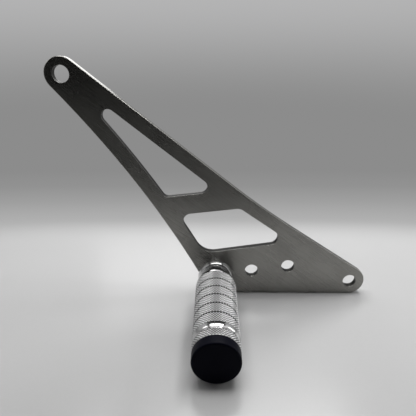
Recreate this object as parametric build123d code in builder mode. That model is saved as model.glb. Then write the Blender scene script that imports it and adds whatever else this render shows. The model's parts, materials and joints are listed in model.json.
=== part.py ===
"""Footpeg bracket: a laser-cut steel plate that carries one knurled peg.

Frame, in millimetres: the origin is the centre of the tail hole on the plate's rear face.
X runs along the plate's straight bottom edge towards the tail, Y goes back out of the
plate's rear face and Z is up. The peg sticks out of the front face along -Y.
"""
from build123d import *
from math import atan2, cos, degrees, radians, sin, tan
import os

os.makedirs("parts", exist_ok=True)

# Plate, with places measured from the tail hole: across towards the peg end, and up
plate_thickness = 4.0
lobe_radius = 9.25
edge_break = 0.3
head_across = 172.7
head_rise = 126.85
bend_across = 64.5
bend_rise = 41.8
heel_across = 84.7
bend_radius = 500.0
hollow_radius = 590.0
peg_across = 86.7
peg_rise = 2.15

# Holes in the plate
head_hole_diameter = 9.4
tail_hole_diameter = 8.5
spare_hole_diameter = 8.5
near_spare_across = 63.75
near_spare_rise = 6.75
far_spare_across = 40.6
far_spare_rise = 10.25

# Windows in the plate, with the webs around them and a slanting crossbar between them
side_web = 9.0
upper_web = 8.15
crossbar_rise = 53.85
crossbar_width = 12.1
crossbar_angle = 7.0
upper_window_corner = 3.9
upper_window_tip_corner = 4.4
lower_window_floor_rise = 19.95
lower_window_floor_angle = 8.9
lower_window_corner = 5.0
lower_window_heel_corner = 11.5

# Peg, turned from round bar, with distances from the plate's front face
flange_diameter = 22.0
flange_thickness = 2.4
flange_chamfer = 0.5
neck_diameter = 12.0
neck_end = 11.2
shoulder_diameter = 24.4
shoulder_chamfer = 0.8
grip_diameter = 25.0
grip_chamfer = 0.4
first_groove = 14.5
groove_pitch = 8.25
groove_count = 6
groove_width = 0.9
groove_depth = 0.7
cove_start = 63.6
cove_width = 5.5
cove_depth = 1.2
peg_length = 73.9

# Stepped bore of the peg and of the plate behind it
bolt_clearance_diameter = 8.5
bolt_seat = 18.0
plug_bore_diameter = 15.0

# Plastic end cap with a hollow plug
cap_diameter = 24.0
cap_height = 6.3
cap_chamfer = 0.6
plug_length = 10.0
plug_clearance = 0.05
plug_wall = 1.6
plug_lead_in = 0.8

# Socket head bolt, washer and lock nut
bolt_diameter = 8.0
bolt_length = 35.0
bolt_tip_chamfer = 0.8
bolt_head_diameter = 13.0
bolt_head_height = 8.0
bolt_head_chamfer = 0.6
bolt_socket_across_flats = 6.0
bolt_socket_depth = 4.0
washer_diameter = 16.0
washer_bore_diameter = 8.4
washer_thickness = 1.6
nut_across_flats = 13.0
nut_hex_height = 6.5
nut_chamfer = 0.7
nut_collar_diameter = 11.4
nut_collar_height = 1.5
nut_lip = 0.4
nut_bore_diameter = 8.1
insert_diameter = 10.2
insert_thickness = 1.8
insert_bore_diameter = 8.1

head_at = (-head_across, head_rise)
bend_at = (-bend_across, bend_rise)
tail_at = (0, 0)
heel_at = (-heel_across, 0)
peg_at = (-peg_across, peg_rise)
near_spare_at = (-near_spare_across, near_spare_rise)
far_spare_at = (-far_spare_across, far_spare_rise)
grip_radius = grip_diameter / 2
bolt_end = bolt_length - bolt_seat
nut_seat = plate_thickness + washer_thickness
nut_top = nut_seat + nut_hex_height + nut_collar_height

# Sketches of the plate lie on its front face. In along_peg x is the distance from that face
# towards the rider and y is the radius, and across_peg is square to the peg's axis
front_face = Plane(origin=(0, -plate_thickness, 0), x_dir=(1, 0, 0), z_dir=(0, -1, 0))
peg_root = (peg_at[0], -plate_thickness, peg_at[1])
along_peg = Plane(origin=peg_root, x_dir=(0, -1, 0), z_dir=(-1, 0, 0))
across_peg = Plane(origin=peg_root, x_dir=(1, 0, 0), z_dir=(0, -1, 0))
peg_axis = Axis(peg_root, (0, 1, 0))


def shifted(point, angle, distance):
    """The point moved square to a line that climbs at an angle, upwards if positive."""
    return (point[0] - distance * sin(radians(angle)), point[1] + distance * cos(radians(angle)))


def along(point, angle, x):
    """Where the line through a point, climbing at an angle, passes x."""
    return (x, point[1] + (x - point[0]) * tan(radians(angle)))


def crossing(point_a, angle_a, point_b, angle_b):
    """Where two slanting lines meet, each given by a point and an angle."""
    height_gap = along(point_b, angle_b, point_a[0])[1] - point_a[1]
    x = point_a[0] + height_gap / (tan(radians(angle_a)) - tan(radians(angle_b)))
    return along(point_a, angle_a, x)


# Lines that bound the windows: two along the upper edge, the crossbar's sides and the floor
head_side_angle = degrees(atan2(bend_rise - head_rise, head_across - bend_across))
tail_side_angle = degrees(atan2(-bend_rise, bend_across))
head_side_at = shifted(head_at, head_side_angle, lobe_radius - upper_web)
tail_side_at = shifted(tail_at, tail_side_angle, lobe_radius - upper_web)
crossbar_at = (-peg_across, crossbar_rise)
crossbar_top_at = shifted(crossbar_at, crossbar_angle, crossbar_width / 2)
crossbar_bottom_at = shifted(crossbar_at, crossbar_angle, -crossbar_width / 2)
floor_at = (-peg_across, lower_window_floor_rise)
# The windows are drawn past the left edge, and the arc beside that edge trims them
overrun_x = -head_across - 4 * lobe_radius


# Plate: a spine through the lobe centres grows by the lobe radius to give the outline
with BuildPart() as bracket_plate:
    with BuildSketch(front_face) as outline:
        with BuildLine():
            Polyline(head_at, bend_at, tail_at, heel_at)
            hollow_spine = RadiusArc(heel_at, head_at, -(hollow_radius + lobe_radius))
        make_face()
        hollow_centre = hollow_spine.arc_center
        offset(amount=lobe_radius, kind=Kind.ARC)
        bend_corner = outline.vertices().sort_by_distance(bend_at)[0]
        fillet(bend_corner, radius=bend_radius)
    extrude(amount=-plate_thickness)

    # Upper window, a long triangle beside the hollow
    with BuildSketch(front_face) as upper_window:
        with BuildLine():
            Polyline(
                crossing(head_side_at, head_side_angle, crossbar_top_at, crossbar_angle),
                along(head_side_at, head_side_angle, overrun_x),
                along(crossbar_top_at, crossbar_angle, overrun_x),
                close=True,
            )
        make_face()
        with Locations(hollow_centre):
            Circle(hollow_radius + side_web, mode=Mode.SUBTRACT)
        by_reach = upper_window.vertices().sort_by(Axis.X)
        fillet(by_reach[:-1], radius=upper_window_corner)
        tip_corner = upper_window.vertices().sort_by(Axis.X)[-1]
        fillet(tip_corner, radius=upper_window_tip_corner)
    extrude(amount=-plate_thickness, mode=Mode.SUBTRACT)

    # Lower window, four-sided, with a larger corner above the peg
    with BuildSketch(front_face) as lower_window:
        with BuildLine():
            Polyline(
                crossing(head_side_at, head_side_angle, crossbar_bottom_at, crossbar_angle),
                crossing(tail_side_at, tail_side_angle, floor_at, lower_window_floor_angle),
                along(floor_at, lower_window_floor_angle, overrun_x),
                along(crossbar_bottom_at, crossbar_angle, overrun_x),
                close=True,
            )
        make_face()
        with Locations(hollow_centre):
            Circle(hollow_radius + side_web, mode=Mode.SUBTRACT)
        by_height = lower_window.vertices().sort_by(Axis.Y)
        fillet(by_height[1:], radius=lower_window_corner)
        heel_corner = lower_window.vertices().sort_by(Axis.Y)[0]
        fillet(heel_corner, radius=lower_window_heel_corner)
    extrude(amount=-plate_thickness, mode=Mode.SUBTRACT)

    # Fixing holes and the hole for the peg's bolt
    with BuildSketch(front_face):
        with Locations(head_at):
            Circle(head_hole_diameter / 2)
        with Locations(tail_at):
            Circle(tail_hole_diameter / 2)
        with Locations(near_spare_at, far_spare_at):
            Circle(spare_hole_diameter / 2)
        with Locations(peg_at):
            Circle(bolt_clearance_diameter / 2)
    extrude(amount=-plate_thickness, mode=Mode.SUBTRACT)

    # Deburred outer edges on both faces
    faces_by_depth = bracket_plate.faces().sort_by(Axis.Y)
    outer_edges = faces_by_depth[0].outer_wire().edges() + faces_by_depth[-1].outer_wire().edges()
    chamfer(outer_edges, length=edge_break)
bracket_plate.part.label = "bracket_plate"
export_step(bracket_plate.part, "parts/bracket_plate.step")

# Peg: flange, slim neck and a grooved grip with a polished cove near its outer end
cove_radius = (cove_width ** 2 / 4 + cove_depth ** 2) / (2 * cove_depth)
with BuildPart() as peg_body:
    with BuildSketch(along_peg) as peg_section:
        with BuildLine():
            Polyline(
                (0, bolt_clearance_diameter / 2),
                (0, flange_diameter / 2),
                (flange_thickness, flange_diameter / 2),
                (flange_thickness, neck_diameter / 2),
                (neck_end, neck_diameter / 2),
                (neck_end, shoulder_diameter / 2),
                (first_groove, shoulder_diameter / 2),
                (first_groove, grip_radius),
                (peg_length, grip_radius),
                (peg_length, plug_bore_diameter / 2),
                (bolt_seat, plug_bore_diameter / 2),
                (bolt_seat, bolt_clearance_diameter / 2),
                close=True,
            )
        make_face()
        rim_middle = (flange_thickness / 2, flange_diameter / 2)
        chamfer(peg_section.vertices().sort_by_distance(rim_middle)[:2], length=flange_chamfer)
        shoulder_corner = peg_section.vertices().sort_by_distance((neck_end, shoulder_diameter / 2))[0]
        chamfer(shoulder_corner, length=shoulder_chamfer)
        end_corner = peg_section.vertices().sort_by_distance((peg_length, grip_radius))[0]
        chamfer(end_corner, length=grip_chamfer)
        # V-shaped grooves between the knurled bands
        with Locations([(first_groove + i * groove_pitch, grip_radius) for i in range(groove_count)]):
            Polygon(
                (-groove_width / 2, 0),
                (0, -groove_depth),
                (groove_width / 2, 0),
                mode=Mode.SUBTRACT,
            )
        with Locations((cove_start + cove_width / 2, grip_radius - cove_depth + cove_radius)):
            Circle(cove_radius, mode=Mode.SUBTRACT)
    revolve(axis=peg_axis)
peg_body.part.label = "peg_body"
export_step(peg_body.part, "parts/peg_body.step")

# End cap: a chamfered button on a hollow plug that is pushed into the bore
plug_radius = plug_bore_diameter / 2 - plug_clearance
plug_start = peg_length - plug_length
with BuildPart() as end_cap:
    with BuildSketch(along_peg) as cap_section:
        with BuildLine():
            Polyline(
                (plug_start, plug_radius - plug_wall),
                (plug_start, plug_radius),
                (peg_length, plug_radius),
                (peg_length, cap_diameter / 2),
                (peg_length + cap_height, cap_diameter / 2),
                (peg_length + cap_height, 0),
                (peg_length, 0),
                (peg_length, plug_radius - plug_wall),
                close=True,
            )
        make_face()
        face_edge_at = (peg_length + cap_height, cap_diameter / 2)
        face_corner = cap_section.vertices().sort_by_distance(face_edge_at)[0]
        chamfer(face_corner, length=cap_chamfer)
        plug_corner = cap_section.vertices().sort_by_distance((plug_start, plug_radius))[0]
        chamfer(plug_corner, length=plug_lead_in)
    revolve(axis=peg_axis)
end_cap.part.label = "end_cap"
export_step(end_cap.part, "parts/end_cap.step")

# Socket head bolt: its head sits at the bottom of the peg's bore, its tip behind the plate
with BuildPart() as peg_bolt:
    with BuildSketch(along_peg) as bolt_section:
        with BuildLine():
            Polyline(
                (-bolt_end, 0),
                (-bolt_end, bolt_diameter / 2),
                (bolt_seat, bolt_diameter / 2),
                (bolt_seat, bolt_head_diameter / 2),
                (bolt_seat + bolt_head_height, bolt_head_diameter / 2),
                (bolt_seat + bolt_head_height, 0),
                close=True,
            )
        make_face()
        head_corner = bolt_section.vertices().sort_by(Axis.X)[-2:].sort_by(Axis.Y)[-1]
        chamfer(head_corner, length=bolt_head_chamfer)
        tip_corner = bolt_section.vertices().sort_by(Axis.X)[:2].sort_by(Axis.Y)[-1]
        chamfer(tip_corner, length=bolt_tip_chamfer)
    revolve(axis=peg_axis)
    with BuildSketch(across_peg.offset(bolt_seat + bolt_head_height)):
        RegularPolygon(bolt_socket_across_flats / 2, 6, major_radius=False)
    extrude(amount=-bolt_socket_depth, mode=Mode.SUBTRACT)
peg_bolt.part.label = "peg_bolt"
export_step(peg_bolt.part, "parts/peg_bolt.step")

# Washer on the plate's rear face
with BuildPart() as plate_washer:
    with BuildSketch(across_peg.offset(-plate_thickness)):
        Circle(washer_diameter / 2)
        Circle(washer_bore_diameter / 2, mode=Mode.SUBTRACT)
    extrude(amount=-washer_thickness)
plate_washer.part.label = "plate_washer"
export_step(plate_washer.part, "parts/plate_washer.step")

# Lock nut: a chamfered hexagon with a round collar that is rolled over a plastic insert
with BuildPart() as lock_nut:
    with BuildSketch(across_peg.offset(-nut_seat)):
        RegularPolygon(nut_across_flats / 2, 6, major_radius=False)
    extrude(amount=-nut_hex_height)
    # A turned cone on both ends rounds off the hexagon's corners
    with BuildSketch(along_peg):
        with BuildLine():
            Polyline(
                (-nut_seat, 0),
                (-nut_seat, nut_across_flats / 2),
                (-nut_seat - nut_chamfer, nut_across_flats / 2 + 2 * nut_chamfer),
                (-nut_seat - nut_hex_height + nut_chamfer, nut_across_flats / 2 + 2 * nut_chamfer),
                (-nut_seat - nut_hex_height, nut_across_flats / 2),
                (-nut_seat - nut_hex_height, 0),
                close=True,
            )
        make_face()
    revolve(axis=peg_axis, mode=Mode.INTERSECT)
    with BuildSketch(across_peg.offset(-nut_seat - nut_hex_height)):
        Circle(nut_collar_diameter / 2)
    extrude(amount=-nut_collar_height)
    with BuildSketch(across_peg.offset(-nut_seat)):
        Circle(nut_bore_diameter / 2)
    extrude(amount=-(nut_hex_height + nut_collar_height), mode=Mode.SUBTRACT)
    with BuildSketch(across_peg.offset(-nut_top + nut_lip)):
        Circle(insert_diameter / 2)
    extrude(amount=insert_thickness, mode=Mode.SUBTRACT)
lock_nut.part.label = "lock_nut"
export_step(lock_nut.part, "parts/lock_nut.step")

# Plastic insert held inside the nut's collar
with BuildPart() as nut_insert:
    with BuildSketch(across_peg.offset(-nut_top + nut_lip)):
        Circle(insert_diameter / 2)
        Circle(insert_bore_diameter / 2, mode=Mode.SUBTRACT)
    extrude(amount=insert_thickness)
nut_insert.part.label = "nut_insert"
export_step(nut_insert.part, "parts/nut_insert.step")
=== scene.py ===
import json
from math import atan2, cos, hypot, pi, radians, sin

import bmesh
import bpy
from bpy.props import FloatProperty, FloatVectorProperty, IntProperty, PointerProperty
from mathutils import Matrix, Vector


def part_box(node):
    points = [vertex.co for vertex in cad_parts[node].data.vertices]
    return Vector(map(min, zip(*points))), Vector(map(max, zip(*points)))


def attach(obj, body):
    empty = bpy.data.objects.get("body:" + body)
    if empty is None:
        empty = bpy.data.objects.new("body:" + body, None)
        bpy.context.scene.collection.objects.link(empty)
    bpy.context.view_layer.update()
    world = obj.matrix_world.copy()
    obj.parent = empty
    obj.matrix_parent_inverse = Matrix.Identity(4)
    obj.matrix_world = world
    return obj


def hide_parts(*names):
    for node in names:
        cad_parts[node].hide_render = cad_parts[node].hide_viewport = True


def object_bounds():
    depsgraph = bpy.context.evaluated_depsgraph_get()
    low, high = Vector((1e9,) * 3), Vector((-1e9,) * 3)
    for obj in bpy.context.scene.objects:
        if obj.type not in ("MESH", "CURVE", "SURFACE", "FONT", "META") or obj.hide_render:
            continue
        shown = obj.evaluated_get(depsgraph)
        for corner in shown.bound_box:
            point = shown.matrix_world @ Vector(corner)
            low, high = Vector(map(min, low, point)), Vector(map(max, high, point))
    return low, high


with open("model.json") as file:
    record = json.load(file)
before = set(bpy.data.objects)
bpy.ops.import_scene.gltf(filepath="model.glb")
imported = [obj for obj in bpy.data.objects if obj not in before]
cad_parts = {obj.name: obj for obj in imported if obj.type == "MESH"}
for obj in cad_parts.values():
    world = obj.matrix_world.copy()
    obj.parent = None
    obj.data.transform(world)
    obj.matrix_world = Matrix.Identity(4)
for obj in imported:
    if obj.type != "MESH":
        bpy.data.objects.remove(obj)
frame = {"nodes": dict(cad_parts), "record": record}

bl_info = {
    "name": "Footpeg Bracket Dresser",
    "version": (1, 0, 0),
    "blender": (4, 5, 0),
    "location": "View3D > Sidebar > Footpeg",
    "description": "Models the knurled peg, cap and bolt, and finishes and lights the bracket",
    "category": "Object",
}

CAD_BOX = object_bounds()
MM = 0.001
# Points closer together than this are merged
MERGE_DISTANCE = 0.002 * MM
# Points this far off a turned surface still count as lying on it
ON_SURFACE = 0.01 * MM
PLATE_LOW, PLATE_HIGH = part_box("bracket_plate")
PEG_LOW, PEG_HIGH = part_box("peg_body")
PEG_CENTRE = (PEG_LOW + PEG_HIGH) / 2
PEG_ROOT = Vector((PEG_CENTRE.x, PLATE_LOW.y, PEG_CENTRE.z))
PEG_LENGTH = PLATE_LOW.y - PEG_LOW.y
GRIP_RADIUS = (PEG_HIGH.z - PEG_LOW.z) / 2
CAP_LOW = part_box("end_cap")[0]
BOLT_LOW, BOLT_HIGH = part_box("peg_bolt")
# The sweep touches the underside of the peg and of the plate's tail lobe
FLOOR_TILT = atan2(PLATE_LOW.z - PEG_LOW.z, -PEG_ROOT.x)
ALONG_PEG = (0.0, 1.0, 0.0)


# Sizes and colours that can be changed

def length(name, description, default):
    """A length property in metres, with its default given in millimetres."""
    return FloatProperty(
        name=name,
        description=description,
        default=default * MM,
        min=0.0,
        precision=5,
        unit="LENGTH",
    )


def colour(name, description, default):
    """A colour property."""
    return FloatVectorProperty(
        name=name,
        description=description,
        default=default,
        min=0.0,
        max=1.0,
        size=3,
        subtype="COLOR",
    )


def share(name, description, default):
    """A property that runs from none to all."""
    return FloatProperty(
        name=name,
        description=description,
        default=default,
        min=0.0,
        max=1.0,
        subtype="FACTOR",
    )


class PegSizes(bpy.types.PropertyGroup):
    """Sizes and finish of the knurled peg."""

    flange_radius: length("Flange Radius", "Radius of the flange against the plate", 11.4)
    flange_thickness: length("Flange Thickness", "Thickness of the flange", 2.4)
    flange_round: length("Flange Round", "Rounding of the flange's front rim", 0.5)
    flange_slope: length("Flange Slope", "How much narrower the flange is at the front", 1.25)
    neck_radius: length("Neck Radius", "Radius of the slim neck", 6.0)
    neck_fillet: length("Neck Fillet", "Rounding in both inner corners of the neck", 0.4)
    neck_end: length("Neck End", "Distance from the plate to the shoulder", 11.2)
    shoulder_radius: length("Shoulder Radius", "Radius of the polished shoulder", 12.2)
    shoulder_round: length("Shoulder Round", "Rounding of the polished shoulder", 1.1)
    first_groove: length("First Groove", "Distance from the plate to the first groove", 14.5)
    groove_pitch: length("Groove Pitch", "Distance from one groove to the next", 8.25)
    groove_width: length("Groove Width", "Width of each groove at its top", 0.9)
    groove_floor: length("Groove Floor", "Width of each groove at its bottom", 0.4)
    groove_depth: length("Groove Depth", "Depth of each groove", 0.75)
    cove_start: length("Cove Start", "Distance from the plate to the polished cove", 63.6)
    cove_width: length("Cove Width", "Width of the polished cove", 5.5)
    cove_depth: length("Cove Depth", "Depth of the polished cove", 1.2)
    end_chamfer: length("End Chamfer", "Chamfer around the peg's outer end", 0.4)
    edge_break: length("Edge Break", "Rounding of the edges that look sharp", 0.15)
    knurl_depth: length("Knurl Depth", "Height of the knurl's diamonds", 0.45)
    bore_radius: length("Bore Radius", "Radius of the bore behind the cap", 7.5)
    bore_round: length("Bore Round", "Rounding around the mouth of the bore", 0.2)
    bolt_seat: length("Bolt Seat", "Distance from the plate to the bolt head's seat", 18.0)
    bolt_clearance: length("Bolt Clearance", "Radius of the hole for the bolt", 4.25)
    grooves: IntProperty(name="Grooves", description="Number of grooves", default=6, min=1)
    diamonds: IntProperty(
        name="Diamonds Around",
        description="Number of knurl diamonds around the peg",
        default=50,
        min=24,
    )
    diamond_length: length("Diamond Length", "Length of a knurl diamond along the peg", 1.84)
    aluminium: colour("Aluminium", "Colour of the bare aluminium", (0.55, 0.55, 0.55))
    satin: share("Satin", "Roughness of the knurl", 0.36)
    polish: share("Polish", "Roughness of the flange, neck, shoulder and cove", 0.14)


class CapSizes(bpy.types.PropertyGroup):
    """Sizes and finish of the plastic end cap."""

    cap_radius: length("Cap Radius", "Outer radius of the cap", 12.25)
    face_round: length("Face Round", "Rounding around the cap's face", 0.9)
    seat_round: length("Seat Round", "Rounding where the cap meets the peg", 0.25)
    plug_length: length("Plug Length", "Length of the plug in the bore", 10.0)
    plug_radius: length("Plug Radius", "Outer radius of the plug", 7.45)
    plug_wall: length("Plug Wall", "Wall thickness of the plug", 1.6)
    plug_mouth_round: length("Plug Mouth Round", "Rounding inside the plug at the cap", 0.3)
    plug_rim_round: length("Plug Rim Round", "Rounding inside the plug's open rim", 0.2)
    plug_lead_in: length("Plug Lead-in", "Rounding outside the plug's open rim", 0.7)
    black: colour("Black", "Colour of the moulded plastic", (0.0014, 0.0016, 0.0060))
    sheen: share("Sheen", "Roughness of the moulded plastic", 0.42)


class BoltSizes(bpy.types.PropertyGroup):
    """Sizes and finish of the bolt, washer and nut."""

    shank_radius: length("Shank Radius", "Outer radius of the shank and the thread", 4.0)
    core_radius: length("Core Radius", "Radius at the bottom of the thread", 3.35)
    thread_pitch: length("Thread Pitch", "Distance from one thread ridge to the next", 1.25)
    thread_length: length("Thread Length", "Length of the thread from the tip", 15.0)
    tip_chamfer: length("Tip Chamfer", "Chamfer on the tip", 0.6)
    head_radius: length("Head Radius", "Radius of the head", 6.5)
    head_height: length("Head Height", "Height of the head", 8.0)
    head_round: length("Head Round", "Rounding around the head's top", 0.6)
    seat_round: length("Seat Round", "Rounding around the head's seat", 0.15)
    socket_across: length("Socket Across Flats", "Width of the hexagon socket", 6.0)
    socket_depth: length("Socket Depth", "Depth of the hexagon socket", 4.0)
    zinc: colour("Zinc", "Colour of the bright zinc plating", (0.60, 0.61, 0.63))
    nylon: colour("Nylon", "Colour of the nut's insert", (0.80, 0.79, 0.74))


class PlateFinish(bpy.types.PropertyGroup):
    """Finish of the brushed steel plate."""

    steel: colour("Steel", "Colour of the brushed steel", (0.278, 0.274, 0.258))
    satin: share("Satin", "Roughness of the brushed faces", 0.26)
    grain_slope: FloatProperty(
        name="Grain Slope",
        description="How far the brushing and the upper edge slope down towards the tail",
        default=radians(36.3),
        subtype="ANGLE",
    )
    hollow_slope: FloatProperty(
        name="Hollow Slope",
        description="How far the hollow edge slopes down towards the peg",
        default=radians(55.2),
        subtype="ANGLE",
    )
    heel_across: length("Heel Across", "Distance from the tail hole to the heel's centre", 84.7)


class StudioSetup(bpy.types.PropertyGroup):
    """Sweep, lamps and camera."""

    sweep_radius: length("Sweep Radius", "Distance from the floor's middle to the wall", 620.0)
    sweep_height: length("Sweep Height", "Height of the wall", 750.0)
    sweep_bend: length("Sweep Bend", "Radius of the bend between floor and wall", 160.0)
    floor: colour("Floor", "Colour of the floor", (0.60, 0.60, 0.60))
    fill: share("Fill", "Strength of the light from all around", 0.13)
    lamp_power: FloatProperty(
        name="Lamp Power",
        description="Power of an overhead strip of 0.33 by 0.40 metres at full level",
        default=3.4,
        min=0.0,
        unit="POWER",
    )
    camera_at: FloatVectorProperty(
        name="Camera Place",
        description="Where the camera stands",
        default=(-0.089414, -0.239942, 0.142529),
        size=3,
        subtype="XYZ",
    )
    camera_turn: FloatVectorProperty(
        name="Camera Turn",
        description="How the camera is turned",
        default=(radians(68.5181), radians(-0.3829), radians(0.8003)),
        size=3,
        subtype="EULER",
    )
    focal_length: FloatProperty(
        name="Focal Length",
        description="Lens length in millimetres on a 36 mm wide sensor",
        default=36.0865,
        min=1.0,
    )


# Shader arithmetic

class Signal:
    """A shader node's output that takes part in plain arithmetic."""

    def __init__(self, finish, socket):
        self.finish = finish
        self.socket = socket

    def __add__(self, other):
        return self.finish.maths("ADD", self, other)

    __radd__ = __add__

    def __mul__(self, other):
        return self.finish.maths("MULTIPLY", self, other)

    __rmul__ = __mul__

    def __sub__(self, other):
        return self.finish.maths("SUBTRACT", self, other)

    def __rsub__(self, other):
        return self.finish.maths("SUBTRACT", other, self)

    def __pow__(self, other):
        return self.finish.maths("POWER", self, other)

    def __abs__(self):
        return self.finish.maths("ABSOLUTE", self)


class Finish:
    """A node tree that is being filled with a procedural finish."""

    def __init__(self, tree):
        self.tree = tree
        self.tree.nodes.clear()

    def add(self, kind, settings=None, inputs=None, output=0):
        """A node with its settings and inputs, as the signal of one of its outputs."""
        node = self.tree.nodes.new(kind)
        for key, value in (settings or {}).items():
            if key == "stops":
                self.set_stops(node.color_ramp.elements, value)
            else:
                setattr(node, key, value)
        for key, value in (inputs or {}).items():
            if isinstance(value, Signal):
                self.tree.links.new(value.socket, node.inputs[key])
            else:
                node.inputs[key].default_value = value
        return Signal(self, node.outputs[output]) if len(node.outputs) else None

    @staticmethod
    def set_stops(elements, stops):
        """Gives a colour ramp its places and greys."""
        for place, grey in stops[1:-1]:
            elements.new(place)
        for element, (place, grey) in zip(elements, stops):
            element.position = place
            element.color = (grey, grey, grey, 1.0)

    def maths(self, operation, *values):
        """A Math node on one or more values."""
        return self.add("ShaderNodeMath", {"operation": operation}, dict(enumerate(values)))

    def ramp(self, value, low, high, start=0.0, end=1.0):
        """A smooth change from start to end as a value goes from low to high."""
        return self.add(
            "ShaderNodeMapRange",
            {"interpolation_type": "SMOOTHSTEP", "clamp": True},
            {"Value": value, "From Min": low, "From Max": high, "To Min": start, "To Max": end},
        )

    def band(self, value, low, high, soft):
        """One while a value is between low and high and none outside, with soft limits."""
        above = self.ramp(value, low - soft, low + soft)
        return above * self.ramp(value, high - soft, high + soft, 1.0, 0.0)

    def blend(self, share_of_second, first, second):
        """A colour that goes from a first to a second one."""
        return self.add(
            "ShaderNodeMix",
            {"data_type": "RGBA", "clamp_factor": True},
            {0: share_of_second, 6: first, 7: second},
            output=2,
        )

    def shaded(self, base, level):
        """A colour made lighter or darker by a value around 1."""
        return self.add(
            "ShaderNodeVectorMath",
            {"operation": "SCALE"},
            {0: base, "Scale": level},
        )

    def place(self, location=(0, 0, 0), rotation=(0, 0, 0), scale=(1, 1, 1), source=None):
        """Object coordinates, or a given vector, scaled, then turned, then moved."""
        if source is None:
            source = self.add("ShaderNodeTexCoord", output="Object")
        return self.add(
            "ShaderNodeMapping",
            {"vector_type": "POINT"},
            {"Vector": source, "Location": location, "Rotation": rotation, "Scale": scale},
        )

    def millimetres(self, centre=(0, 0, 0)):
        """Object coordinates in millimetres, counted from a centre."""
        return self.place(location=-Vector(centre) / MM, scale=(1 / MM,) * 3)

    def noise(self, vector, scale=1.0, detail=3.0, roughness=0.55):
        """Soft random values around one half."""
        return self.add(
            "ShaderNodeTexNoise",
            {"noise_dimensions": "3D"},
            {"Vector": vector, "Scale": scale, "Detail": detail, "Roughness": roughness},
        )

    def parts(self, vector):
        """The three components of a vector."""
        first = self.add("ShaderNodeSeparateXYZ", None, {0: vector})
        return [Signal(self, output) for output in first.socket.node.outputs]

    def joined(self, x, y, z):
        """A vector from three values."""
        return self.add("ShaderNodeCombineXYZ", None, {0: x, 1: y, 2: z})

    def bump(self, height, depth, normal=None):
        """A normal from a height between 0 and 1 that stands for a depth in metres."""
        inputs = {"Strength": 1.0, "Distance": depth, "Height": height}
        if normal:
            inputs["Normal"] = normal
        return self.add("ShaderNodeBump", None, inputs)

    def softened_edges(self, radius):
        """A normal that rounds sharp edges over a small radius."""
        return self.add("ShaderNodeBevel", {"samples": 6}, {"Radius": radius})

    def surface(self, inputs):
        """A principled surface shader."""
        return self.add("ShaderNodeBsdfPrincipled", None, inputs)

    def end(self, shader, kind="ShaderNodeOutputMaterial"):
        """Ties the shader to the output."""
        self.add(kind, None, {"Surface": shader})


def new_finish(name):
    """A material with an empty node tree, and the finish that fills it."""
    material = bpy.data.materials.new(name)
    material.use_nodes = True
    return material, Finish(material.node_tree)


def rgba(values):
    """A colour with full opacity."""
    return (*values, 1.0)


def brushed_steel(props):
    """Sheet steel brushed along its length, with laser-cut walls between the two faces."""
    material, f = new_finish("brushed_steel")
    mm = f.millimetres()
    grain = f.place(rotation=(0.0, -props.grain_slope, 0.0), source=mm)
    fine = f.noise(f.place(scale=(0.05, 1.0, 5.5), source=grain), detail=4.0, roughness=0.65)
    streak = f.noise(f.place(scale=(0.012, 1.0, 1.1), source=grain), detail=3.0)
    cloud = f.noise(f.place(scale=(0.035, 0.3, 0.06), source=grain), detail=2.0)
    stray = f.place(rotation=(0.0, radians(13), 0.0), source=grain)
    scratch_noise = f.noise(f.place(scale=(0.09, 1.0, 4.0), source=stray), detail=1.0)
    scratch = f.ramp(scratch_noise, 0.70, 0.76)
    # Walls of the outline, windows and holes lie between the two faces
    x, y, z = f.parts(mm)
    depth = PLATE_HIGH.y / MM - y
    thickness = (PLATE_HIGH.y - PLATE_LOW.y) / MM
    face_skin = 0.325
    wall = f.band(depth, face_skin, thickness - face_skin, 0.075)
    cut = inner_cuts(f, props, x, z)
    striation = f.noise(f.joined(x * 3.2, y * 0.25, z * 3.2), detail=3.0, roughness=0.6)
    level = 0.42 + fine * 0.34 + streak * 0.34 + cloud * 0.50 + scratch * 0.22
    wall_level = (0.85 + striation * 0.35) * (1 - cut * 0.93)
    steel = f.shaded(props.steel, level * (1 - wall) + wall_level * wall)
    rough_face = props.satin - 0.08 + fine * 0.10 + cloud * 0.10 - scratch * 0.08
    rough_wall = 0.14 + striation * 0.10 + cut * 0.24
    height = fine * 0.6 + streak * 0.4 + scratch * 0.5
    height = height * (1 - wall) + striation * wall
    f.end(
        f.surface(
            {
                "Base Color": steel,
                "Metallic": 1.0,
                "Roughness": rough_face * (1 - wall) + rough_wall * wall,
                "Normal": f.bump(height, 0.0025 * MM, f.softened_edges(0.3 * MM)),
            }
        )
    )
    return material


def inner_cuts(f, props, x, z):
    """One on the dark laser-cut walls of the holes and windows, none on the bright outer edge."""
    bores = [mount for mount in frame["record"]["mounts"] if mount["kind"] == "bore"]
    margin, fade = 0.4, 0.3
    cut = 0.0
    for bore in bores:
        across, up = x - bore["pos_m"][0] / MM, z - bore["pos_m"][2] / MM
        reach = bore["dims"]["r_mm"] + margin
        from_centre = f.maths("SQRT", across * across + up * up)
        near = f.ramp(from_centre, reach, reach + fade, 1.0, 0.0)
        cut = f.maths("MAXIMUM", near, cut)
    # Distances inwards from the plate's long upper edge and from its hollow left edge
    lobe = -PLATE_LOW.z / MM
    from_upper = lobe - x * sin(props.grain_slope) - z * cos(props.grain_slope)
    from_heel = x + props.heel_across / MM
    from_hollow = from_heel * sin(props.hollow_slope) + z * cos(props.hollow_slope) + lobe
    window = f.ramp(from_upper, 6.0, 7.0) * f.ramp(from_hollow, 6.5, 7.5)
    # The walls of the bottom edge and of the head lobe are outer ones too
    window = window * f.ramp(z, -6.0, -5.0) * f.ramp(x, -160.0, -158.0)
    return f.maths("MAXIMUM", window, cut)


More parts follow.
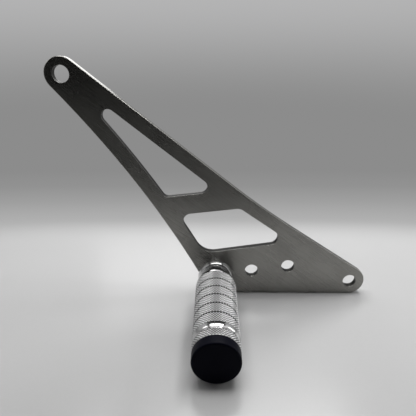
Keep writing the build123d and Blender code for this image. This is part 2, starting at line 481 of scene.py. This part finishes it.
def knurled_aluminium(props):
    """Turned aluminium: satin knurl, painted shade in valleys and grooves, polished shoulder and
    cove.
    """
    material, f = new_finish("knurled_aluminium")
    mm = f.millimetres(PEG_ROOT)
    x, y, z = f.parts(mm)
    radius = f.maths("SQRT", x * x + z * z)
    from_plate = -1.0 * y
    mean_radius = 12.0
    around = f.maths("ARCTAN2", z, x) * mean_radius
    # Tool marks run around the peg, so they change along it and with the radius
    rings = f.noise(f.joined(from_plate * 9.0, radius * 9.0, 0.0), detail=2.0)
    patch = f.noise(mm, scale=0.22, detail=3.0)
    nick_noise = f.noise(f.joined(around * 0.9, from_plate * 0.9, 0.0), detail=2.0)
    nicks = f.ramp(nick_noise, 0.66, 0.72)
    grip = GRIP_RADIUS / MM
    knurl_start = (props.first_groove + props.groove_width / 2) / MM
    cove_start, cove_end = props.cove_start / MM, (props.cove_start + props.cove_width) / MM
    in_cove = f.band(from_plate, cove_start, cove_end, 0.02)
    before_grip = f.ramp(from_plate, knurl_start - 0.3, knurl_start - 0.25, 1.0, 0.0)
    polished = f.maths("MAXIMUM", in_cove, before_grip)
    knurled = f.ramp(from_plate, knurl_start - 0.05, knurl_start + 0.05) * (1 - in_cove)
    # Painted shade, with a little residue, deep in the knurl's valleys
    shaded_valley = f.ramp(radius, grip - props.knurl_depth / MM, grip - 0.1, 1.0, 0.0) * knurled
    # How far each place is from the nearest groove's middle, up to the last groove
    pitch, half = props.groove_pitch / MM, props.groove_width / 2 / MM
    turns = (from_plate - props.first_groove / MM) * (1 / pitch)
    from_groove = abs(turns - f.maths("ROUND", turns)) * pitch
    # Mask of the grooves, which get painted shade
    groove = f.ramp(from_groove, half - 0.04, half + 0.08, 1.0, 0.0)
    groove = groove * f.ramp(from_plate, cove_start - 1.0, cove_start - 0.9, 1.0, 0.0) * knurled
    level = 0.90 + rings * 0.08 + patch * 0.12 - nicks * knurled * 0.12
    # Painted shade, with a little dirt, darkens the knurl's valleys and the grooves
    level = level * (1.06 - knurled * 0.06 - shaded_valley * 0.80) * (1 - groove * 0.85)
    satin = props.satin - 0.06 + patch * 0.14 + shaded_valley * 0.12
    rough = satin * (1 - polished) + (props.polish - 0.02 + rings * 0.06) * polished
    height = rings * (0.35 + 0.65 * (1 - polished)) + patch * 0.4
    f.end(
        f.surface(
            {
                "Base Color": f.shaded(props.aluminium, level),
                "Metallic": 1.0,
                "Roughness": rough,
                "Normal": f.bump(height, 0.004 * MM),
            }
        )
    )
    return material


def moulded_black(props):
    """Black moulded plastic with a fine spark-eroded grain and a little dust."""
    material, f = new_finish("moulded_black")
    mm = f.millimetres()
    grain = f.noise(mm, scale=6.0, detail=3.0, roughness=0.7)
    cloud = f.noise(mm, scale=0.35, detail=3.0)
    dust = f.ramp(f.noise(mm, scale=3.1, detail=1.0), 0.73, 0.78)
    scuff = f.ramp(f.noise(f.place(scale=(0.5, 0.5, 3.5), source=mm), detail=2.0), 0.66, 0.74)
    tint = f.blend(dust * 0.5 + scuff * 0.2, rgba(props.black), (0.012, 0.012, 0.014, 1.0))
    f.end(
        f.surface(
            {
                "Base Color": f.shaded(tint, 0.8 + cloud * 0.4),
                "Roughness": props.sheen - 0.10 + grain * 0.12 + cloud * 0.12,
                "Specular IOR Level": 0.05,
                "Normal": f.bump(grain, 0.012 * MM),
            }
        )
    )
    return material


def bright_zinc(props):
    """Zinc plating with cloudy passivation and fine pits."""
    material, f = new_finish("bright_zinc")
    mm = f.millimetres()
    cloud = f.noise(mm, scale=0.5, detail=3.0)
    pits = f.noise(mm, scale=5.0, detail=4.0, roughness=0.7)
    warm = f.blend(f.ramp(cloud, 0.45, 0.62), rgba(props.zinc), (0.62, 0.60, 0.54, 1.0))
    f.end(
        f.surface(
            {
                "Base Color": f.shaded(warm, 0.84 + pits * 0.3),
                "Metallic": 1.0,
                "Roughness": 0.20 + cloud * 0.14 + pits * 0.08,
                "Normal": f.bump(pits, 0.006 * MM),
            }
        )
    )
    return material


def natural_nylon(props):
    """Milky nylon with a faint mottling."""
    material, f = new_finish("natural_nylon")
    mm = f.millimetres()
    mottle = f.noise(mm, scale=1.2, detail=4.0, roughness=0.6)
    f.end(
        f.surface(
            {
                "Base Color": f.shaded(props.nylon, 0.86 + mottle * 0.22),
                "Roughness": 0.38 + mottle * 0.16,
                "Normal": f.bump(mottle, 0.01 * MM),
            }
        )
    )
    return material


# Mesh work

def section(bm, corners):
    """Draws a chain of edges through (distance, radius, rounding) corners.

    The chain is closed unless it starts on the axis. Returns the corners to round, by rounding.
    """
    verts = [bm.verts.new((radius, -distance, 0.0)) for distance, radius, _ in corners]
    for first, second in zip(verts, verts[1:]):
        bm.edges.new((first, second))
    if corners[0][1] > 0.0:
        bm.edges.new((verts[-1], verts[0]))
    by_rounding = {}
    for vert, (_, _, rounding) in zip(verts, corners):
        if rounding:
            by_rounding.setdefault(rounding, []).append(vert)
    return by_rounding


def round_corners(bm, by_rounding, segments=5):
    """Rounds the corners of a section."""
    for rounding, verts in by_rounding.items():
        bmesh.ops.bevel(
            bm,
            geom=verts,
            offset=rounding,
            offset_type="OFFSET",
            affect="VERTICES",
            segments=segments,
            profile=0.5,
            material=-1,
        )


def turn(bm, steps, axis=ALONG_PEG):
    """Spins everything in the mesh once around an axis and closes it."""
    bmesh.ops.spin(
        bm,
        geom=bm.verts[:] + bm.edges[:],
        cent=(0.0, 0.0, 0.0),
        axis=axis,
        dvec=(0.0, 0.0, 0.0),
        angle=2 * pi,
        steps=steps,
        use_merge=True,
    )
    bmesh.ops.remove_doubles(bm, verts=bm.verts, dist=MERGE_DISTANCE)
    bmesh.ops.recalc_face_normals(bm, faces=bm.faces)


def from_axis(point):
    """How far a point lies from the peg's axis while a piece is being made."""
    return hypot(point.x, point.z)


def shade(bm, flat_faces=(), sharp=radians(38)):
    """Smooth shading with sharp edges, and flat shading on the given faces."""
    flat = set(flat_faces)
    for face in bm.faces:
        face.smooth = face not in flat
    for edge in bm.edges:
        edge.smooth = edge.is_manifold and edge.calc_face_angle() < sharp


def new_object(name, bm, material):
    """An object in the scene with the finished mesh and its material."""
    mesh = bpy.data.meshes.new(name)
    bm.to_mesh(mesh)
    bm.free()
    made = bpy.data.objects.new(name, mesh)
    bpy.context.scene.collection.objects.link(made)
    mesh.materials.append(material)
    return made


def piece(name, bm, material, node):
    """Makes a piece at its place on the peg's axis and fits it to the frame."""
    bmesh.ops.translate(bm, verts=bm.verts, vec=PEG_ROOT)
    made = new_object(name, bm, material)
    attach(made, "root")
    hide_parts(node)


def put_on(node, material):
    """Gives a CAD node its finish."""
    target = frame["nodes"][node]
    target.data.materials.clear()
    target.data.materials.append(material)


class OBJECT_OT_dress_plate(bpy.types.Operator):
    """Give the bracket plate its brushed steel"""

    bl_idname = "object.dress_plate"
    bl_label = "Dress Plate"
    bl_options = {"REGISTER", "UNDO"}

    def execute(self, context):
        put_on("bracket_plate", brushed_steel(context.scene.plate_finish))
        return {"FINISHED"}


class OBJECT_OT_add_footpeg(bpy.types.Operator):
    """Turn and knurl the footpeg"""

    bl_idname = "object.add_footpeg"
    bl_label = "Add Footpeg"
    bl_options = {"REGISTER", "UNDO"}

    def execute(self, context):
        p = context.scene.peg_sizes
        bm = bmesh.new()
        round_corners(bm, section(bm, self.corners(p)))
        self.round_cove(bm, p)
        for edge in bm.edges[:]:
            if all(abs(vert.co.x - GRIP_RADIUS) < ON_SURFACE for vert in edge.verts):
                rows = max(2, round(2 * edge.calc_length() / p.diamond_length))
                bmesh.ops.subdivide_edges(bm, edges=[edge], cuts=rows - 1)
        turn(bm, steps=2 * p.diamonds)
        shade(bm, self.knurl(bm, p))
        piece("footpeg", bm, knurled_aluminium(p), "peg_body")
        return {"FINISHED"}

    @staticmethod
    def corners(p):
        """Corners of the peg's section, with the rounding of each."""
        top = GRIP_RADIUS
        low = top - p.groove_depth
        half, half_floor = p.groove_width / 2, p.groove_floor / 2
        rows = [
            (0.0, p.bolt_clearance, 0.0),
            (0.0, p.flange_radius, p.edge_break),
            (p.flange_thickness, p.flange_radius - p.flange_slope, p.flange_round),
            (p.flange_thickness, p.neck_radius, p.neck_fillet),
            (p.neck_end, p.neck_radius, p.neck_fillet),
            (p.neck_end, p.shoulder_radius, p.shoulder_round),
            (p.first_groove - half, p.shoulder_radius, p.edge_break),
            (p.first_groove - half_floor, low, 0.0),
            (p.first_groove + half_floor, low, 0.0),
            (p.first_groove + half, top, 0.0),
        ]
        for i in range(1, p.grooves):
            at = p.first_groove + i * p.groove_pitch
            rows += [
                (at - half, top, 0.0),
                (at - half_floor, low, 0.0),
                (at + half_floor, low, 0.0),
                (at + half, top, 0.0),
            ]
        # The sides of the cove meet at a point that is rounded off later
        cove_radius = (p.cove_width ** 2 / 4 + p.cove_depth ** 2) / (2 * p.cove_depth)
        half_cove = p.cove_width / 2
        fall = half_cove * half_cove / (cove_radius - p.cove_depth)
        rows += [
            (p.cove_start, top, 0.0),
            (p.cove_start + half_cove, top - fall, 0.0),
            (p.cove_start + p.cove_width, top, 0.0),
            (PEG_LENGTH - p.end_chamfer, top, 0.0),
            (PEG_LENGTH, top - p.end_chamfer, p.edge_break),
            (PEG_LENGTH, p.bore_radius, p.bore_round),
            (p.bolt_seat, p.bore_radius, 0.0),
            (p.bolt_seat, p.bolt_clearance, 0.0),
        ]
        return rows

    @staticmethod
    def round_cove(bm, p):
        """Rounds the point between the cove's two sides until the arc almost reaches both rims."""
        middle = p.cove_start + p.cove_width / 2
        point = min(bm.verts, key=lambda vert: abs(vert.co.y + middle))
        reach = min(edge.calc_length() for edge in point.link_edges)
        almost = 0.99
        round_corners(bm, {almost * reach: [point]}, segments=14)

    @staticmethod
    def knurl(bm, p):
        """Sinks every other point of the grip's bands and returns the knurled faces."""
        bands = [
            face
            for face in bm.faces
            if all(abs(from_axis(vert.co) - GRIP_RADIUS) < ON_SURFACE for vert in face.verts)
        ]
        points = {vert for face in bands for vert in face.verts}
        distance = {vert: round(-vert.co.y / ON_SURFACE) for vert in points}
        row_at = {place: row for row, place in enumerate(sorted(set(distance.values())))}
        column_angle = pi / p.diamonds
        sunk = []
        for vert in points:
            column = round(atan2(vert.co.z, vert.co.x) / column_angle)
            if (row_at[distance[vert]] + column) % 2:
                sunk.append(vert)
        shrink = (GRIP_RADIUS - p.knurl_depth) / GRIP_RADIUS
        bmesh.ops.scale(bm, vec=(shrink, 1.0, shrink), verts=sunk)
        bmesh.ops.connect_verts(bm, verts=sunk)
        return [face for face in bm.faces if all(vert in points for vert in face.verts)]


class OBJECT_OT_add_end_cap(bpy.types.Operator):
    """Mould the plastic end cap with its plug"""

    bl_idname = "object.add_end_cap"
    bl_label = "Add End Cap"
    bl_options = {"REGISTER", "UNDO"}

    def execute(self, context):
        p = context.scene.cap_sizes
        face_at = PLATE_LOW.y - CAP_LOW.y
        seat_at = PEG_LENGTH
        plug_at = seat_at - p.plug_length
        bm = bmesh.new()
        corners = [
            (seat_at, 0.0, 0.0),
            (seat_at, p.plug_radius - p.plug_wall, p.plug_mouth_round),
            (plug_at, p.plug_radius - p.plug_wall, p.plug_rim_round),
            (plug_at, p.plug_radius, p.plug_lead_in),
            (seat_at, p.plug_radius, 0.0),
            (seat_at, p.cap_radius, p.seat_round),
            (face_at, p.cap_radius, p.face_round),
            (face_at, 0.0, 0.0),
        ]
        round_corners(bm, section(bm, corners), segments=8)
        turn(bm, steps=120)
        shade(bm)
        piece("black_end_cap", bm, moulded_black(p), "end_cap")
        return {"FINISHED"}


class OBJECT_OT_add_bolt(bpy.types.Operator):
    """Make the socket head bolt with its thread"""

    bl_idname = "object.add_bolt"
    bl_label = "Add Bolt"
    bl_options = {"REGISTER", "UNDO"}

    def execute(self, context):
        p = context.scene.bolt_sizes
        tip = PLATE_LOW.y - BOLT_HIGH.y
        head_end = PLATE_LOW.y - BOLT_LOW.y
        seat = head_end - p.head_height
        shank_from = tip + p.thread_length
        # A little wider than the hexagon's corners
        socket_mouth = 0.62 * p.socket_across
        bm = bmesh.new()
        corners = [
            (tip, 0.0, 0.0),
            (tip, p.core_radius - p.tip_chamfer / 2, 0.0),
            (tip + p.tip_chamfer / 2, p.core_radius, 0.0),
            (shank_from, p.core_radius, 0.0),
            (shank_from + (p.shank_radius - p.core_radius), p.shank_radius, 0.0),
            (seat, p.shank_radius, 0.0),
            (seat, p.head_radius, p.seat_round),
            (head_end, p.head_radius, p.head_round),
            (head_end, socket_mouth, 0.0),
        ]
        round_corners(bm, section(bm, corners))
        turn(bm, steps=48)
        self.socket(bm, p, head_end)
        self.thread(bm, p, tip)
        bmesh.ops.recalc_face_normals(bm, faces=bm.faces)
        shade(bm)
        piece("threaded_bolt", bm, bright_zinc(p), "peg_bolt")
        return {"FINISHED"}

    @staticmethod
    def socket(bm, p, head_end):
        """Cuts the hexagon socket into the head."""
        rim = [edge for edge in bm.edges if edge.is_boundary]
        place = Matrix.Translation((0.0, -head_end, 0.0)) @ Matrix.Rotation(pi / 2, 4, "X")
        corner = p.socket_across / 2 / cos(pi / 6)
        hexagon = bmesh.ops.create_circle(
            bm, cap_ends=False, segments=6, radius=corner, matrix=place
        )
        sides = list({edge for vert in hexagon["verts"] for edge in vert.link_edges})
        bmesh.ops.bridge_loops(bm, edges=rim + sides)
        walls = bmesh.ops.extrude_edge_only(bm, edges=sides)["geom"]
        bottom = [item for item in walls if isinstance(item, bmesh.types.BMVert)]
        bmesh.ops.translate(bm, verts=bottom, vec=(0.0, p.socket_depth, 0.0))
        bmesh.ops.contextual_create(bm, geom=bottom)

    @staticmethod
    def thread(bm, p, tip):
        """Winds a ridge around the core, from the tip to the plain shank."""
        steps_around = 32
        overlap, crest_gap = 0.05 * MM, 0.02 * MM
        half_base, half_crest = 0.46 * p.thread_pitch, 0.07 * p.thread_pitch
        lead_in, run_out = 0.75 * p.thread_pitch, 0.45 * p.thread_pitch
        turns = (p.thread_length - lead_in - run_out) / p.thread_pitch
        base = p.core_radius - overlap
        crest = p.shank_radius - crest_gap
        start = tip + lead_in
        profile = (
            (base, start - half_base),
            (crest, start - half_crest),
            (crest, start + half_crest),
            (base, start + half_base),
        )
        ridge = [bm.verts.new((radius, -distance, 0.0)) for radius, distance in profile]
        end_face = bm.faces.new(ridge)
        # The spin moves this face to the far end, and its copy closes the start
        bmesh.ops.duplicate(bm, geom=ridge + list(end_face.edges) + [end_face])
        steps = round(turns * steps_around)
        bmesh.ops.spin(
            bm,
            geom=[end_face],
            cent=(0.0, 0.0, 0.0),
            axis=ALONG_PEG,
            dvec=(0.0, -p.thread_pitch / steps_around, 0.0),
            angle=2 * pi * steps / steps_around,
            steps=steps,
            use_merge=False,
        )
        bmesh.ops.remove_doubles(bm, verts=bm.verts, dist=MERGE_DISTANCE)


class OBJECT_OT_dress_fasteners(bpy.types.Operator):
    """Give the washer, nut and insert their finishes"""

    bl_idname = "object.dress_fasteners"
    bl_label = "Dress Fasteners"
    bl_options = {"REGISTER", "UNDO"}

    def execute(self, context):
        p = context.scene.bolt_sizes
        zinc = bright_zinc(p)
        put_on("plate_washer", zinc)
        put_on("lock_nut", zinc)
        put_on("nut_insert", natural_nylon(p))
        return {"FINISHED"}


class SCENE_OT_set_stage(bpy.types.Operator):
    """Build the sweep, the lamps, the world and the camera"""

    bl_idname = "scene.set_stage"
    bl_label = "Set Stage"
    bl_options = {"REGISTER", "UNDO"}

    def execute(self, context):
        p = context.scene.studio_setup
        self.sweep(p)
        self.cards()
        self.lamps(p)
        self.world(context, p)
        self.camera(context, p)
        context.scene.view_settings.view_transform = "Standard"
        return {"FINISHED"}

    def sweep(self, p):
        """A round floor that curves up into a wall on all sides."""
        bm = bmesh.new()
        centre = bm.verts.new((0.0, 0.0, 0.0))
        foot = bm.verts.new((p.sweep_radius, 0.0, 0.0))
        top = bm.verts.new((p.sweep_radius, 0.0, p.sweep_height))
        bm.edges.new((centre, foot))
        bm.edges.new((foot, top))
        round_corners(bm, {p.sweep_bend: [foot]}, segments=14)
        turn(bm, steps=96, axis=(0.0, 0.0, 1.0))
        lowest_face = min(bm.faces, key=lambda face: face.calc_center_median().z)
        if lowest_face.normal.z < 0.0:
            bmesh.ops.reverse_faces(bm, faces=bm.faces)
        for face in bm.faces:
            face.smooth = True
        # The floor tilts below the tail hole, so that it touches the tail lobe and the peg
        middle = Vector((PEG_ROOT.x, (CAD_BOX[0].y + CAD_BOX[1].y) / 2, 0.0))
        lowest = Vector((0.0, 0.0, PLATE_LOW.z))
        place = Matrix.Translation(lowest) @ Matrix.Rotation(-FLOOR_TILT, 4, "Y")
        bmesh.ops.translate(bm, verts=bm.verts, vec=middle)
        bmesh.ops.transform(bm, matrix=place, verts=bm.verts)
        new_object("sweep", bm, self.sweep_paper(p, middle))

    @staticmethod
    def sweep_paper(p, middle):
        """Pale paper with real shadows nearby; further out, a grey backdrop glowing with painted
        light.
        """
        material, f = new_finish("sweep_paper")
        x, y, z = f.parts(f.place(location=-middle))
        # Distance from the middle in a rounded box that is longer from side to side
        stretch, power = 1.9, 4.0
        far = ((x * (1 / stretch)) ** power + y ** power) ** (1 / power)
        paper = f.noise(f.place(), scale=900.0, detail=3.0)
        soft = f.noise(f.place(), scale=9.0, detail=2.0)
        floor = f.shaded(p.floor, 0.95 + paper * 0.04 + soft * 0.06)
        # Painted falloff of lamp light: the glowing backdrop gets darker away from the middle
        falloff_greys = [(0.0, 0.66), (0.20, 0.66), (0.2725, 0.624), (0.3775, 0.445)]
        falloff_greys += [(0.51, 0.347), (0.635, 0.287), (0.79, 0.262), (1.0, 0.262)]
        last_falloff_at = 0.4
        away = f.add("ShaderNodeValToRGB", {"stops": falloff_greys}, {0: far * (1 / last_falloff_at)})
        upper_grey, pale = (0.46, 0.46, 0.463, 1.0), (0.95, 0.95, 0.95, 1.0)
        high_wall = f.blend(f.ramp(z, 0.03, 0.24), away, upper_grey)
        # Painted light: the wall glows paler high up at the back
        bright = f.ramp(z, 0.26, 0.45) * f.ramp(y, 0.05, 0.40, 0.15, 1.0)
        # A painted glow on the wall at the right too, where only the peg's right side mirrors it
        glow_on_right = f.ramp(x, 0.42, 0.50) * f.ramp(y, -0.05, 0.05) * f.ramp(z, 0.0, 0.08)
        bright = f.maths("MAXIMUM", bright, glow_on_right)
        backdrop = f.blend(bright, high_wall, pale)
        # The camera and mirror and see-through rays see the painted glow; lamps light the paper
        # near the middle
        seen = f.add("ShaderNodeLightPath", output="Is Camera Ray")
        mirrored = f.add("ShaderNodeLightPath", output="Is Glossy Ray")
        passed = f.add("ShaderNodeLightPath", output="Is Transmission Ray")
        direct = f.maths("MAXIMUM", seen, f.maths("MAXIMUM", mirrored, passed))
        lit = f.surface({"Base Color": floor, "Roughness": 0.22, "Specular IOR Level": 0.35})
        plain = f.add("ShaderNodeEmission", None, {"Color": backdrop, "Strength": 1.0})
        f.end(
            f.add(
                "ShaderNodeMixShader",
                None,
                {0: direct * f.ramp(far, 0.10, 0.16), 1: lit, 2: plain},
            )
        )
        return material

    def cards(self):
        """A dark card in front and a grey one on the floor, for the plate's front to mirror."""
        upright = Matrix.Rotation(pi / 2, 4, "X")
        flat = Matrix()
        for name, at, turned, width, height, grey, darkens_floor in (
            ("front_card", (-0.12, -0.42, 0.40), upright, 1.1, 0.74, 0.035, True),
            ("table_card", (-0.12, -0.38, -0.004), flat, 1.0, 0.48, 0.20, False),
        ):
            bm = bmesh.new()
            bmesh.ops.create_grid(bm, x_segments=2, y_segments=2, size=0.5)
            place = Matrix.Translation(at) @ turned @ Matrix.Diagonal((width, height, 1.0, 1.0))
            bmesh.ops.transform(bm, matrix=place, verts=bm.verts)
            card = new_object(name, bm, self.card_paper(name, grey))
            card.visible_camera = False
            card.visible_shadow = False
            card.visible_diffuse = darkens_floor

    @staticmethod
    def card_paper(name, grey):
        """Dull paper with a faint mottling."""
        material, f = new_finish(name)
        tone = f.shaded((grey,) * 3, 0.8 + f.noise(f.place(), scale=40.0) * 0.4)
        f.end(f.surface({"Base Color": tone, "Roughness": 0.9, "Specular IOR Level": 0.0}))
        return material

    @staticmethod
    def lamp(name, at, target, width, height, power):
        """A soft rectangular lamp aimed at a point."""
        light = bpy.data.lights.new(name, "AREA")
        light.shape = "RECTANGLE"
        light.size = width
        light.size_y = height
        light.energy = power
        made = bpy.data.objects.new(name, light)
        bpy.context.scene.collection.objects.link(made)
        made.location = at
        made.rotation_euler = (Vector(target) - Vector(at)).to_track_quat("-Z", "Y").to_euler()
        made.visible_camera = False

    def lamps(self, p):
        """A frame of four strips overhead, a panel on each side and a weak one far behind."""
        middle = Vector((PEG_ROOT.x, -0.03, 0.0))
        top = middle + Vector((0.0, 0.19, 0.46))
        down = Vector((0.0, 0.0, -1.0))
        rated_area = 0.33 * 0.40
        for name, across, back, wide, deep, level in (
            ("front_strip", 0.02, -0.15, 0.46, 0.10, 0.78),
            ("back_strip", 0.05, 0.15, 0.34, 0.10, 1.1),
            ("left_strip", -0.18, 0.0, 0.10, 0.40, 0.42),
            ("right_strip", 0.18, 0.0, 0.10, 0.20, 1.0),
        ):
            at = top + Vector((across, back, 0.0))
            power = p.lamp_power * level * wide * deep / rated_area
            self.lamp(name, at, at + down, wide, deep, power)
        for name, across, back, up, wide, deep, power in (
            ("left_panel", -0.36, 0.16, 0.30, 0.12, 0.16, 0.036),
            ("right_panel", 0.44, 0.13, 0.18, 0.12, 0.24, 0.085),
        ):
            at = middle + Vector((across, back, up))
            self.lamp(name, at, middle, wide, deep, p.lamp_power * power)
        # A weak panel far behind, mirrored in the upper edge near the plate's head
        plate_head, far_behind = (-0.17, 0.0, 0.13), (-0.2175, 0.50, 0.314)
        self.lamp("head_panel", far_behind, plate_head, 0.205, 0.172, p.lamp_power * 0.06)

    @staticmethod
    def world(context, p):
        """Even light from all around."""
        world = bpy.data.worlds.new("studio")
        context.scene.world = world
        world.use_nodes = True
        f = Finish(world.node_tree)
        white = (1.0, 1.0, 1.0, 1.0)
        glow = f.add("ShaderNodeBackground", None, {"Color": white, "Strength": p.fill})
        f.end(glow, "ShaderNodeOutputWorld")

    @staticmethod
    def camera(context, p):
        """The camera, at the photograph's viewpoint."""
        data = bpy.data.cameras.new("camera")
        data.sensor_fit = "HORIZONTAL"
        data.sensor_width = 36.0
        data.lens = p.focal_length
        data.clip_start = 0.005
        data.clip_end = 10.0
        made = bpy.data.objects.new("camera", data)
        context.scene.collection.objects.link(made)
        made.location = p.camera_at
        made.rotation_euler = p.camera_turn
        context.scene.camera = made


class VIEW3D_PT_footpeg(bpy.types.Panel):
    """Lists the steps that dress the footpeg bracket"""

    bl_idname = "VIEW3D_PT_footpeg"
    bl_label = "Footpeg Bracket"
    bl_space_type = "VIEW_3D"
    bl_region_type = "UI"
    bl_category = "Footpeg"

    def draw(self, context):
        for operator in OPERATORS:
            self.layout.operator(operator.bl_idname)


GROUPS = {
    "peg_sizes": PegSizes,
    "cap_sizes": CapSizes,
    "bolt_sizes": BoltSizes,
    "plate_finish": PlateFinish,
    "studio_setup": StudioSetup,
}
OPERATORS = (
    OBJECT_OT_dress_plate,
    OBJECT_OT_add_footpeg,
    OBJECT_OT_add_end_cap,
    OBJECT_OT_add_bolt,
    OBJECT_OT_dress_fasteners,
    SCENE_OT_set_stage,
)


def register():
    """Registers the sizes, operators and panel."""
    for name, group in GROUPS.items():
        bpy.utils.register_class(group)
        setattr(bpy.types.Scene, name, PointerProperty(type=group))
    for operator in OPERATORS:
        bpy.utils.register_class(operator)
    bpy.utils.register_class(VIEW3D_PT_footpeg)


def unregister():
    """Takes away the panel, operators and sizes."""
    bpy.utils.unregister_class(VIEW3D_PT_footpeg)
    for operator in reversed(OPERATORS):
        bpy.utils.unregister_class(operator)
    for name, group in GROUPS.items():
        delattr(bpy.types.Scene, name)
        bpy.utils.unregister_class(group)


def main():
    """Registers the add-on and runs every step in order."""
    register()
    bpy.ops.object.dress_plate()
    bpy.ops.object.add_footpeg()
    bpy.ops.object.add_end_cap()
    bpy.ops.object.add_bolt()
    bpy.ops.object.dress_fasteners()
    bpy.ops.scene.set_stage()


if __name__ == "__main__":
    main()
